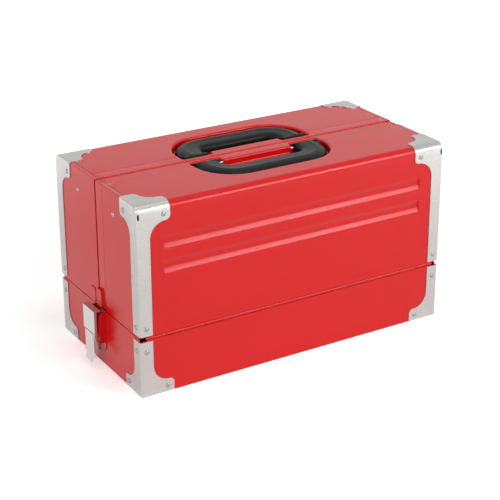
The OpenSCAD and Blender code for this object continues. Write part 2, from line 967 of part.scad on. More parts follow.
base_shell();
link_plate(false);  // link_plate_left
link_plate(true);  // link_plate_right
link_base_pins();
hinge_base_leaf(true);  // front_hinge_base_leaf
hinge_base_leaf(false);  // rear_hinge_base_leaf
hinge_pin(true);  // front_hinge_pin
hinge_pin(false);  // rear_hinge_pin
base_corner(false, true);  // base_corner_front_left
base_corner(true, true);  // base_corner_front_right
base_corner(false, false);  // base_corner_rear_left
base_corner(true, false);  // base_corner_rear_right
base_corner_rivets();
latch_bracket(false);  // latch_bracket_left
latch_bracket(true);  // latch_bracket_right
latch_pivot_pins();
lid_skin(true);  // front_lid_skin
lid_end(false, true);  // front_lid_end_left
lid_end(true, true);  // front_lid_end_right
hinge_lid_leaf(true);  // front_hinge_lid_leaf
lid_corner(false, true);  // lid_corner_front_left
lid_corner(true, true);  // lid_corner_front_right
lid_rivets(true);  // front_lid_rivets
lid_studs(true);  // front_lid_studs
handle_pins(true);  // front_handle_pins
front_lid_keepers();
front_keeper_pads();
lid_skin(false);  // rear_lid_skin
lid_end(false, false);  // rear_lid_end_left
lid_end(true, false);  // rear_lid_end_right
hinge_lid_leaf(false);  // rear_hinge_lid_leaf
lid_corner(false, false);  // lid_corner_rear_left
lid_corner(true, false);  // lid_corner_rear_right
lid_rivets(false);  // rear_lid_rivets
lid_studs(false);  // rear_lid_studs
handle_pins(false);  // rear_handle_pins
rear_lid_keepers();
links(true, foot_y);  // front_outer_links
links(true, foot_y - link_spread);  // front_inner_links
links(false, foot_y);  // rear_outer_links
links(false, foot_y - link_spread);  // rear_inner_links
tray(true, mid_floor, mid_tray_h, 1, mid_tray_fold);  // front_mid_tray
tray(true, top_floor, top_tray_h, 2, top_tray_fold);  // front_top_tray
tray(false, mid_floor, mid_tray_h, 1, mid_tray_fold);  // rear_mid_tray
tray(false, top_floor, top_tray_h, 2, top_tray_fold);  // rear_top_tray
tray_rivets(true, 1);  // front_mid_tray_rivets
tray_rivets(true, 2);  // front_top_tray_rivets
tray_rivets(false, 1);  // rear_mid_tray_rivets
tray_rivets(false, 2);  // rear_top_tray_rivets
handle(true);  // front_handle
handle(false);  // rear_handle
latch_lever(false);  // latch_lever_left
latch_lever(true);  // latch_lever_right
latch_hook(false);  // latch_hook_left
latch_hook(true);  // latch_hook_right
latch_hook_pin(false);  // latch_hook_pins_left
latch_hook_pin(true);  // latch_hook_pins_right
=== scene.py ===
"""Dress and light a double-opening cantilever tool box in red enamel and satin steel."""
import json
import logging
import math
from dataclasses import dataclass, field
from enum import Enum
from typing import Iterable

import bmesh
import bpy
from mathutils import Euler, Matrix, Vector
from mathutils.geometry import delaunay_2d_cdt


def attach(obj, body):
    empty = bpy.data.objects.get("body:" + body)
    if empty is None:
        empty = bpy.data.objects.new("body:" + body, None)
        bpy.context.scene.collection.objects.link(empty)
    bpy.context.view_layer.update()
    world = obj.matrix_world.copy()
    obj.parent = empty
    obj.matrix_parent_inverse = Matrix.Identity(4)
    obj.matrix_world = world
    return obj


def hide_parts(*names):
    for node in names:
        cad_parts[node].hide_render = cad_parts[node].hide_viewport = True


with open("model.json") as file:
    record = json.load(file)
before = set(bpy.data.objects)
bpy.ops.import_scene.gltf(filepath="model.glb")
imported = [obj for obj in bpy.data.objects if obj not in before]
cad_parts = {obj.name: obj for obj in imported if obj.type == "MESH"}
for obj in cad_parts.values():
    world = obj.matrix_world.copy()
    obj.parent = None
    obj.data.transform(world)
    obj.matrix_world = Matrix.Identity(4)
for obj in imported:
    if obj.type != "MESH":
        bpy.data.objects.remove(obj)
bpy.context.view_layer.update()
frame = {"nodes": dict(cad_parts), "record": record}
LOG = logging.getLogger("tool_box")
MM = 0.001
LEAST_FOLD_AREA = 6e-6
FOLD_ANGLE = math.radians(50)
FLAT_ANGLE = math.radians(0.3)
WELD = 1e-6
SKIN_WELD = 2e-5
CUT_CLEAR = 2.0
Outline = list[tuple[float, float]]


class Side(Enum):
    """The two long sides of the case, with the sign of their Y."""

    FRONT = -1
    REAR = 1

    @property
    def word(self) -> str:
        """Return the side's word in node and body names."""
        return self.name.lower()


class End(Enum):
    """The two ends of the case, with the sign of their X."""

    LEFT = -1
    RIGHT = 1


# ---------------------------------------------------------------- finishes


def place_node(tree: bpy.types.NodeTree, kind: str, values: dict | None, wires: dict | None,
               settings: dict) -> bpy.types.Node:
    """Add a node to a tree.

    Args:
        tree: The tree.
        kind: The node's Blender type.
        values: Input name or index to a fixed value.
        wires: Input name or index to the socket that feeds it.
        settings: Node attributes.

    Returns:
        The new node.
    """
    node = tree.nodes.new(kind)
    for key, value in settings.items():
        setattr(node, key, value)
    for key, value in (values or {}).items():
        node.inputs[key].default_value = value
    for key, socket in (wires or {}).items():
        tree.links.new(socket, node.inputs[key])
    return node


class Graph:
    """A small builder for one material's shader nodes."""

    def __init__(self, name: str) -> None:
        """Start a material with an empty Principled shader.

        Args:
            name: The material's name.
        """
        self.material = bpy.data.materials.new(name)
        self.material.use_nodes = True
        self.nodes = self.material.node_tree.nodes
        self.links = self.material.node_tree.links
        self.shader = self.nodes["Principled BSDF"]
        self.coords = self.add("ShaderNodeTexCoord").outputs["Object"]

    def add(self, kind: str, values: dict | None = None, wires: dict | None = None, **settings) -> bpy.types.Node:
        """Add a node and return it, with its fixed values, wires and attributes."""
        return place_node(self.material.node_tree, kind, values, wires, settings)

    def stretched(self, scale: tuple[float, float, float]) -> bpy.types.NodeSocket:
        """Return Object coordinates scaled by an amount along each axis."""
        mapping = self.add("ShaderNodeMapping", {"Scale": scale}, {"Vector": self.coords})
        return mapping.outputs["Vector"]

    def noise(self, scale: float, detail: float = 3.0,
              vector: bpy.types.NodeSocket | None = None) -> bpy.types.NodeSocket:
        """Return the factor of a noise texture.

        Args:
            scale: Lumps per metre.
            detail: Octaves of finer noise.
            vector: Coordinates, or Object coordinates when left out.

        Returns:
            The factor socket, 0 to 1.
        """
        node = self.add("ShaderNodeTexNoise", {"Scale": scale, "Detail": detail}, {"Vector": vector or self.coords})
        return node.outputs["Fac"]

    def spread(self, source: bpy.types.NodeSocket, low: float, high: float) -> bpy.types.NodeSocket:
        """Return source, mostly 0.3 to 0.7, spread from low to high."""
        ends = {"From Min": 0.3, "From Max": 0.7, "To Min": low, "To Max": high}
        node = self.add("ShaderNodeMapRange", ends, {"Value": source})
        return node.outputs["Result"]

    def blend(self, factor: bpy.types.NodeSocket, first: Iterable[float],
              second: Iterable[float]) -> bpy.types.NodeSocket:
        """Return a colour that runs from first to second with factor."""
        node = self.add("ShaderNodeMix", data_type="RGBA")
        node.inputs[6].default_value = (*first, 1)
        node.inputs[7].default_value = (*second, 1)
        self.links.new(factor, node.inputs[0])
        return node.outputs[2]

    def feed(self, name: str, socket: bpy.types.NodeSocket) -> None:
        """Wire a socket into one of the shader's inputs."""
        self.links.new(socket, self.shader.inputs[name])

    def bump(self, height: bpy.types.NodeSocket, depth: float, strength: float = 1.0) -> None:
        """Raise the surface by a height field.

        Args:
            height: The height, 0 to 1.
            depth: The height of 1, in metres.
            strength: How strongly the bump shows.
        """
        node = self.add("ShaderNodeBump", {"Distance": depth, "Strength": strength}, {"Height": height})
        self.feed("Normal", node.outputs["Normal"])


@dataclass(frozen=True)
class Enamel:
    """Sprayed enamel on sheet steel: even colour, slight orange peel and soft gloss."""

    name: str
    colour: tuple[float, float, float]
    shade: tuple[float, float, float]
    gloss: float = 0.22
    shine: float = 0.28
    peel_scale: float = 420.0
    peel_depth: float = 0.000012

    def build(self) -> bpy.types.Material:
        """Return the material."""
        graph = Graph(self.name)
        graph.feed("Base Color", graph.blend(graph.noise(9.0), self.colour, self.shade))
        graph.feed("Roughness", graph.spread(graph.noise(35.0), self.gloss - 0.03, self.gloss + 0.04))
        graph.shader.inputs["Specular IOR Level"].default_value = self.shine
        graph.bump(graph.noise(self.peel_scale, 2.0), self.peel_depth, 0.6)
        return graph.material


@dataclass(frozen=True)
class PlatedSteel:
    """Plated sheet steel, with fine rolling streaks along one axis and faint clouding."""

    name: str
    colour: tuple[float, float, float]
    shade: tuple[float, float, float]
    gloss: float
    streaks: tuple[float, float, float] = (60.0, 60.0, 1400.0)
    streak_depth: float = 0.000002

    def build(self) -> bpy.types.Material:
        """Return the material."""
        graph = Graph(self.name)
        grain = graph.noise(1.0, 2.0, graph.stretched(self.streaks))
        cloud = graph.noise(28.0)
        graph.feed("Base Color", graph.blend(cloud, self.colour, self.shade))
        graph.feed("Roughness", graph.spread(grain, self.gloss - 0.03, self.gloss + 0.03))
        graph.shader.inputs["Metallic"].default_value = 1.0
        graph.bump(grain, self.streak_depth, 0.35)
        return graph.material


@dataclass(frozen=True)
class GrainedPlastic:
    """Moulded plastic with a fine spark-eroded grain."""

    name: str
    colour: tuple[float, float, float]
    shade: tuple[float, float, float]
    gloss: float
    shine: float = 0.12
    grain_scale: float = 1500.0
    grain_depth: float = 0.00004

    def build(self) -> bpy.types.Material:
        """Return the material."""
        graph = Graph(self.name)
        graph.feed("Base Color", graph.blend(graph.noise(60.0), self.colour, self.shade))
        graph.feed("Roughness", graph.spread(graph.noise(90.0), self.gloss - 0.04, self.gloss + 0.05))
        graph.shader.inputs["Specular IOR Level"].default_value = self.shine
        graph.bump(graph.noise(self.grain_scale, 3.0), self.grain_depth, 0.6)
        return graph.material


class Finishes:
    """Every finish on the case, built once and looked up by its material slot."""

    def __init__(self) -> None:
        """Build the materials."""
        recipes = {
            "red_paint": Enamel("red_enamel", (0.70, 0.0065, 0.0075), (0.65, 0.0055, 0.0065)),
            # The keepers are red enamel tinted orange: painted reflection of warm light on top of their red paint.
            "keeper_paint": Enamel("orange_enamel", (0.72, 0.040, 0.012), (0.66, 0.034, 0.010), gloss=0.34),
            "corner_steel": PlatedSteel("satin_corner_steel", (0.50, 0.485, 0.47), (0.42, 0.41, 0.40), 0.27),
            # Rivet steel is much darker than the corner plates' steel: painted shade standing in for the dark sides of
            # the domed heads.
            "rivet_steel": PlatedSteel("bright_rivet_steel", (0.34, 0.33, 0.32), (0.28, 0.27, 0.26), 0.15),
            "link_steel": PlatedSteel("zinc_link_steel", (0.66, 0.66, 0.64), (0.58, 0.58, 0.57), 0.38),
            "latch_steel": PlatedSteel("latch_steel", (0.64, 0.63, 0.61), (0.54, 0.53, 0.51), 0.30),
            "handle_plastic": GrainedPlastic("dark_handle_plastic", (0.010, 0.009, 0.0085),
                                             (0.007, 0.0065, 0.006), 0.38),
        }
        self.by_slot = {slot: recipe.build() for slot, recipe in recipes.items()}

    def __getitem__(self, slot: str) -> bpy.types.Material:
        """Return the material of a slot."""
        return self.by_slot[slot]


# ---------------------------------------------------------------- mesh helpers


def node_slots() -> dict[str, str]:
    """Return each CAD node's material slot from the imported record."""
    return {part["node"]: part["material_slot"] for part in frame["record"]["subparts"]}


def node_bodies() -> dict[str, str]:
    """Return each CAD node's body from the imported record."""
    bodies = frame["record"]["behaviour"]["bodies"]
    return {node: body for body, members in bodies.items() for node in members}


def new_object(name: str, mesh: bpy.types.Mesh) -> bpy.types.Object:
    """Link a new object that sits at the origin."""
    thing = bpy.data.objects.new(name, mesh)
    bpy.context.scene.collection.objects.link(thing)
    return thing


def from_bmesh(name: str, shape: bmesh.types.BMesh) -> bpy.types.Object:
    """Turn a bmesh into a linked object and free it."""
    mesh = bpy.data.meshes.new(name)
    shape.to_mesh(mesh)
    shape.free()
    return new_object(name, mesh)


def finish_piece(thing: bpy.types.Object, body: str, slot: str, finishes: Finishes, nodes: Iterable[str] = ()) -> None:
    """Paint a piece, make it ride on its body and let it stand for its nodes.

    Args:
        thing: The piece.
        body: The body that it moves with.
        slot: Its material slot.
        finishes: The finishes.
        nodes: The CAD nodes that it replaces.
    """
    thing.data.materials.clear()
    thing.data.materials.append(finishes[slot])
    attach(thing, body)
    if nodes:
        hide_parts(*nodes)
    LOG.info("%s: %d faces on %s", thing.name, len(thing.data.polygons), body)


def soften(thing: bpy.types.Object, width: float, segments: int = 2, angle: float = 32.0) -> None:
    """Round a piece's edges with a bevel and smooth shading.

    Args:
        thing: The piece.
        width: The bevel's width in millimetres.
        segments: Steps across the bevel.
        angle: The least angle of an edge that is rounded, in degrees.
    """
    thing.data.polygons.foreach_set("use_smooth", [True] * len(thing.data.polygons))
    thing.data.set_sharp_from_angle(angle=math.radians(angle))
    bevel = thing.modifiers.new("soft_edges", "BEVEL")
    bevel.width = width * MM
    bevel.segments = segments
    bevel.limit_method = "ANGLE"
    bevel.angle_limit = math.radians(angle)
    bevel.harden_normals = True
    bevel.miter_outer = "MITER_ARC"


def round_folds(shape: bmesh.types.BMesh, outward: Vector, width: float) -> None:
    """Round the folds of a wrapped sheet, where two of its outward faces meet.

    Args:
        shape: The sheet.
        outward: The signs of the directions that face away from the case.
        width: The rounding's width in millimetres.
    """
    def faces_out(face: bmesh.types.BMFace) -> bool:
        """Return whether a face is large and turned away from the case."""
        return face.calc_area() > LEAST_FOLD_AREA and all(n * o > -0.01 for n, o in zip(face.normal, outward))

    folds = [edge for edge in shape.edges
             if len(edge.link_faces) == 2 and edge.is_convex and edge.calc_face_angle(0.0) > FOLD_ANGLE
             and all(faces_out(face) for face in edge.link_faces)]
    bmesh.ops.bevel(shape, geom=folds, offset=width * MM, segments=4, affect="EDGES", profile=0.5,
                    offset_type="OFFSET", clamp_overlap=True)


def merged_copy(node: str, name: str, fold: float = 0.0) -> bpy.types.Object:
    """Return a welded copy of a CAD node, its flat faces joined up.

    Args:
        node: The node.
        name: The copy's name.
        fold: The width of the rounding on its outer folds, in millimetres.
    """
    shape = bmesh.new()
    shape.from_mesh(frame["nodes"][node].data)
    bmesh.ops.remove_doubles(shape, verts=shape.verts, dist=WELD)
    bmesh.ops.dissolve_limit(shape, angle_limit=FLAT_ANGLE, verts=shape.verts, edges=shape.edges)
    if fold:
        outward = Vector((-1 if "left" in node else 1, -1 if "front" in node else 1, 1 if "lid" in node else -1))
        round_folds(shape, outward, fold)
    return from_bmesh(name, shape)


def add_grid(shape: bmesh.types.BMesh, lines: list[list[tuple[float, float, float]]]) -> None:
    """Add lines of points, in millimetres, and the faces between them."""
    grid = [[shape.verts.new(Vector(p) * MM) for p in line] for line in lines]
    for near, far in zip(grid, grid[1:]):
        for k in range(len(near) - 1):
            shape.faces.new((near[k], near[k + 1], far[k + 1], far[k]))


def bridge(shape: bmesh.types.BMesh, rings: list[list[bmesh.types.BMVert]]) -> None:
    """Add the faces between closed rings of vertices."""
    for first, second in zip(rings, rings[1:]):
        for k in range(len(first)):
            j = (k + 1) % len(first)
            shape.faces.new((first[k], first[j], second[j], second[k]))


def cut_box(thing: bpy.types.Object, low: Vector, high: Vector) -> None:
    """Cut a box out of a piece.

    Args:
        thing: The piece.
        low: The box's low corner, in millimetres.
        high: Its high corner.
    """
    shape = bmesh.new()
    bmesh.ops.create_cube(shape, size=1.0)
    for vert in shape.verts:
        vert.co = Vector((high[k] if vert.co[k] > 0 else low[k]) * MM for k in range(3))
    cutter = from_bmesh("cutter", shape)
    cut = thing.modifiers.new("cut", "BOOLEAN")
    cut.operation, cut.solver, cut.object = "DIFFERENCE", "EXACT", cutter
    depsgraph = bpy.context.evaluated_depsgraph_get()
    mesh = bpy.data.meshes.new_from_object(thing.evaluated_get(depsgraph), depsgraph=depsgraph)
    thing.modifiers.remove(cut)
    old, thing.data = thing.data, mesh
    bpy.data.meshes.remove(old)
    bpy.data.objects.remove(cutter)


# ---------------------------------------------------------------- repeated pieces


class Repeater:
    """One Geometry Nodes tree with named inputs, and a way to run it into a plain mesh."""

    def __init__(self, name: str) -> None:
        """Start a tree with geometry in and out.

        Args:
            name: The tree's name.
        """
        self.tree = bpy.data.node_groups.new(name, "GeometryNodeTree")
        self.tree.interface.new_socket("Geometry", in_out="INPUT", socket_type="NodeSocketGeometry")
        self.tree.interface.new_socket("Geometry", in_out="OUTPUT", socket_type="NodeSocketGeometry")
        self.inputs: dict[str, str] = {}
        self.given = self.tree.nodes.new("NodeGroupInput")
        self.result = self.tree.nodes.new("NodeGroupOutput")

    def size(self, name: str, kind: str = "NodeSocketFloat") -> bpy.types.NodeSocket:
        """Add a named input and return its socket inside the tree."""
        self.inputs[name] = self.tree.interface.new_socket(name, in_out="INPUT", socket_type=kind).identifier
        return self.given.outputs[name]

    def add(self, kind: str, wires: dict | None = None, values: dict | None = None, **settings) -> bpy.types.Node:
        """Add a node and return it, with its wires, fixed values and attributes."""
        return place_node(self.tree, kind, values, wires, settings)

    def math(self, operation: str, first, second) -> bpy.types.NodeSocket:
        """Return the result of a sum on two sockets or numbers."""
        node = self.add("ShaderNodeMath", operation=operation)
        for index, term in enumerate((first, second)):
            if isinstance(term, bpy.types.NodeSocket):
                self.tree.links.new(term, node.inputs[index])
            else:
                node.inputs[index].default_value = term
        return node.outputs[0]

    def join(self, *parts: bpy.types.Node) -> bpy.types.Node:
        """Join the geometry of several nodes."""
        both = self.add("GeometryNodeJoinGeometry")
        for part in parts:
            self.tree.links.new(part.outputs[0], both.inputs[0])
        return both

    def close(self, geometry: bpy.types.NodeSocket) -> None:
        """End the tree in Realize Instances and Set Material."""
        realized = self.add("GeometryNodeRealizeInstances", {"Geometry": geometry})
        material = self.size("Finish", "NodeSocketMaterial")
        painted = self.add("GeometryNodeSetMaterial", {"Geometry": realized.outputs[0], "Material": material})
        self.tree.links.new(painted.outputs[0], self.result.inputs[0])

    def run(self, source: bpy.types.Object, name: str, sizes: dict) -> bpy.types.Object:
        """Evaluate the tree on a source object into a new plain mesh.

        Args:
            source: The object that holds the points; it is removed.
            name: The new object's name.
            sizes: Input name to value.

        Returns:
            The new object.
        """
        modifier = source.modifiers.new("repeat", "NODES")
        modifier.node_group = self.tree
        for key, value in sizes.items():
            modifier[self.inputs[key]] = value
        bpy.context.view_layer.update()
        graph = bpy.context.evaluated_depsgraph_get()
        mesh = bpy.data.meshes.new_from_object(source.evaluated_get(graph))
        source.modifiers.clear()
        bpy.data.objects.remove(source)
        mesh.name = name
        return new_object(name, mesh)


@dataclass
class RivetMaker:
    """Domed rivets set on points that carry the direction they face."""

    head_r: float = 3.2
    head_h: float = 1.5
    tail_r: float = 2.2
    tail_h: float = 0.7
    repeater: Repeater = field(init=False)

    def __post_init__(self) -> None:
        """Build the tree: a dome on each point and a flat tail at its stack's far side."""
        rep = Repeater("rivets_on_points")
        head_r, head_h = rep.size("Head Radius"), rep.size("Head Height")
        tail_r, tail_h = rep.size("Tail Radius"), rep.size("Tail Height")
        ball = rep.add("GeometryNodeMeshUVSphere", values={"Segments": 28, "Rings": 14, "Radius": 1.0})
        place = rep.add("GeometryNodeInputPosition")
        height = rep.add("ShaderNodeSeparateXYZ", {0: place.outputs[0]}).outputs["Z"]
        below = rep.add("FunctionNodeCompare", {0: height}, {1: -0.01}, data_type="FLOAT", operation="LESS_THAN")
        half = rep.add("GeometryNodeDeleteGeometry", {"Geometry": ball.outputs["Mesh"], "Selection": below.outputs[0]})
        size = rep.add("ShaderNodeCombineXYZ", {0: head_r, 1: head_r, 2: head_h})
        dome = rep.add("GeometryNodeTransform", {"Geometry": half.outputs[0], "Scale": size.outputs[0]})
        smooth = rep.add("GeometryNodeSetShadeSmooth", {0: dome.outputs[0]})
        tail = rep.add("GeometryNodeMeshCylinder", {"Radius": tail_r, "Depth": tail_h}, {"Vertices": 24})
        facing = rep.add("GeometryNodeInputNamedAttribute", values={"Name": "facing"}, data_type="FLOAT_VECTOR")
        stack = rep.add("GeometryNodeInputNamedAttribute", values={"Name": "stack"}, data_type="FLOAT")
        turn = rep.add("FunctionNodeAlignRotationToVector", {"Vector": facing.outputs[0]}, axis="Z")
        heads = rep.add("GeometryNodeInstanceOnPoints", {
            "Points": rep.given.outputs[0], "Instance": smooth.outputs[0], "Rotation": turn.outputs[0]})
        deep = rep.math("ADD", stack.outputs[0], rep.math("MULTIPLY", tail_h, 0.5))
        inward = rep.math("MULTIPLY", deep, -1.0)
        back = rep.add("ShaderNodeVectorMath", {0: facing.outputs[0], "Scale": inward}, operation="SCALE")
        sunk = rep.add("GeometryNodeSetPosition", {"Geometry": rep.given.outputs[0], "Offset": back.outputs[0]})
        tails = rep.add("GeometryNodeInstanceOnPoints", {
            "Points": sunk.outputs[0], "Instance": tail.outputs["Mesh"], "Rotation": turn.outputs[0]})
        rep.close(rep.join(heads, tails).outputs[0])
        self.repeater = rep

    def make(self, name: str, spots: list[tuple[Vector, Vector, float]],
             finish: bpy.types.Material) -> bpy.types.Object:
        """Set rivets on spots.

        Args:
            name: The piece's name.
            spots: Each rivet's place in millimetres, its direction and the stack under its head.
            finish: The rivets' material.

        Returns:
            The rivets as one mesh.
        """
        mesh = bpy.data.meshes.new(name + "_points")
        mesh.from_pydata([spot * MM for spot, _, _ in spots], [], [])
        mesh.attributes.new("facing", "FLOAT_VECTOR", "POINT")
        mesh.attributes.new("stack", "FLOAT", "POINT")
        facing, stack = mesh.attributes["facing"], mesh.attributes["stack"]
        for index, (_, direction, depth) in enumerate(spots):
            facing.data[index].vector = direction
            stack.data[index].value = depth * MM
        sizes = {"Head Radius": self.head_r * MM, "Head Height": self.head_h * MM,
                 "Tail Radius": self.tail_r * MM, "Tail Height": self.tail_h * MM, "Finish": finish}
        return self.repeater.run(new_object(name + "_points", mesh), name, sizes)


@dataclass
class HingeMaker:
    """Piano hinge leaves: a flat strip and every second knuckle of the barrel."""

    length: float = 416.0
    knuckles: int = 16
    barrel_r: float = 2.0
    gap: float = 0.4
    leaf_t: float = 1.0
    leaf_gap: float = 2.3
    leaf_h: float = 8.2
    repeater: Repeater = field(init=False)

    def __post_init__(self) -> None:
        """Build the tree: knuckles along the points and the strip beside them."""
        rep = Repeater("hinge_leaf")
        radius, pitch, gap = rep.size("Barrel Radius"), rep.size("Pitch"), rep.size("Gap")
        strip_size, strip_at = rep.size("Strip Size", "NodeSocketVector"), rep.size("Strip Place", "NodeSocketVector")
        ear_size, ear_at = rep.size("Ear Size", "NodeSocketVector"), rep.size("Ear Place", "NodeSocketVector")
        barrel = rep.add("GeometryNodeMeshCylinder", {"Radius": radius, "Depth": rep.math("SUBTRACT", pitch, gap)},
                         {"Vertices": 24})
        lying = rep.add("GeometryNodeTransform", {"Geometry": barrel.outputs["Mesh"]},
                        {"Rotation": Euler((0, math.pi / 2, 0))})
        ear = rep.add("GeometryNodeMeshCube", {"Size": ear_size})
        ear_set = rep.add("GeometryNodeTransform", {"Geometry": ear.outputs["Mesh"], "Translation": ear_at})
        knuckle = rep.join(lying, ear_set)
        row = rep.add("GeometryNodeInstanceOnPoints", {"Points": rep.given.outputs[0], "Instance": knuckle.outputs[0]})
        strip = rep.add("GeometryNodeMeshCube", {"Size": strip_size})
        strip_set = rep.add("GeometryNodeTransform", {"Geometry": strip.outputs["Mesh"], "Translation": strip_at})
        rep.close(rep.join(row, strip_set).outputs[0])
        self.repeater = rep

    def make(self, name: str, line: Vector, up: int, first: int, finish: bpy.types.Material) -> bpy.types.Object:
        """Make one leaf.

        Args:
            name: The piece's name.
            line: The middle of the hinge line, in millimetres.
            up: 1 for the lid's leaf, -1 for the base's.
            first: Index of its first knuckle.
            finish: Its material.

        Returns:
            The leaf as one mesh.
        """
        pitch = self.length / self.knuckles
        start = line.x - self.length / 2 + pitch / 2
        places = [Vector((start + k * pitch, line.y, line.z)) * MM for k in range(first, self.knuckles, 2)]
        mesh = bpy.data.meshes.new(name + "_points")
        mesh.from_pydata(places, [], [])
        middle = up * (self.leaf_gap + self.leaf_h / 2)
        sizes = {
            "Barrel Radius": self.barrel_r * MM, "Pitch": pitch * MM, "Gap": self.gap * MM,
            "Strip Size": (self.length * MM, self.leaf_t * MM, self.leaf_h * MM),
            "Strip Place": (line + Vector((0, 0, middle))) * MM,
            "Ear Size": ((pitch - self.gap) * MM, self.leaf_t * MM, (self.leaf_gap + 0.5) * MM),
            "Ear Place": (0, 0, up * (self.leaf_gap + 0.5) / 2 * MM), "Finish": finish,
        }
        leaf = self.repeater.run(new_object(name + "_points", mesh), name, sizes)
        soften(leaf, 0.25, 1)
        return leaf


# ---------------------------------------------------------------- case


@dataclass
class Case:
    """The driving sizes of the steel case, in millimetres."""

    length: float = 433.0
    depth: float = 220.0
    height: float = 240.0
    seam_z: float = 75.0
    plate_t: float = 1.0
    sheet_t: float = 1.0

    @property
    def half_l(self) -> float:
        """Return half the painted shell's length."""
        return self.length / 2 - self.plate_t

    @property
    def half_d(self) -> float:
        """Return half the painted shell's depth."""
        return self.depth / 2 - self.plate_t

    @property
    def top_z(self) -> float:
        """Return the height of the painted top."""
        return self.height - self.plate_t

    @property
    def hinge_y(self) -> float:
        """Return the hinge line's distance from the middle."""
        return self.half_d - 1.5


@dataclass
class Pocket:
    """The handle half's recess in the lid's top, an outline that can grow."""

    half_x: float = 92.0
    reach: float = 75.0
    corner_r: float = 50.0
    neck: float = 7.0
    island_half: float = 50.0
    island_reach: float = 16.5
    inner_r: float = 3.0
    depth: float = 10.7
    rim_r: float = 2.6
    foot_r: float = 2.6
    steps: int = 14

    def arc(self, centre: tuple[float, float], radius: float, start: float, stop: float, steps: int) -> Outline:
        """Return points on an arc, in degrees from start to stop."""
        angles = [math.radians(start + (stop - start) * k / steps) for k in range(steps + 1)]
        return [(centre[0] + radius * math.cos(a), centre[1] + radius * math.sin(a)) for a in angles]

    def outline(self, grow: float) -> Outline:
        """Return the outline of the front pocket, counter-clockwise, moved outwards by grow."""
        x, y, neck = self.half_x + grow, -self.reach - grow, -self.neck + grow
        big, small = self.corner_r + grow, max(self.inner_r + grow, 0.3)
        inner = max(self.inner_r - grow, 0.3)
        isle_x, isle_y = self.island_half - grow, -self.island_reach + grow
        few = 4
        right = self.arc((x - big, y + big), big, -90, 0, self.steps)
        right += self.arc((x - small, neck - small), small, 0, 90, few)
        right += self.arc((isle_x + small, neck - small), small, 90, 180, few)
        right += self.arc((isle_x - inner, isle_y + inner), inner, 0, -90, few)
        left = [(-px, py) for px, py in reversed(right)]
        return right + left

    def profile(self) -> list[tuple[float, float]]:
        """Return (grow, drop) pairs from the flat rim down the wall to the floor."""
        rows = []
        for k in range(6):
            a = math.radians(90 * k / 5)
            rows.append((self.rim_r * (1 - math.sin(a)), self.rim_r * (1 - math.cos(a))))
        for k in range(5):
            a = math.radians(90 * k / 4)
            rows.append((-self.foot_r * (1 - math.cos(a)), self.depth - self.foot_r * (1 - math.sin(a))))
        return rows


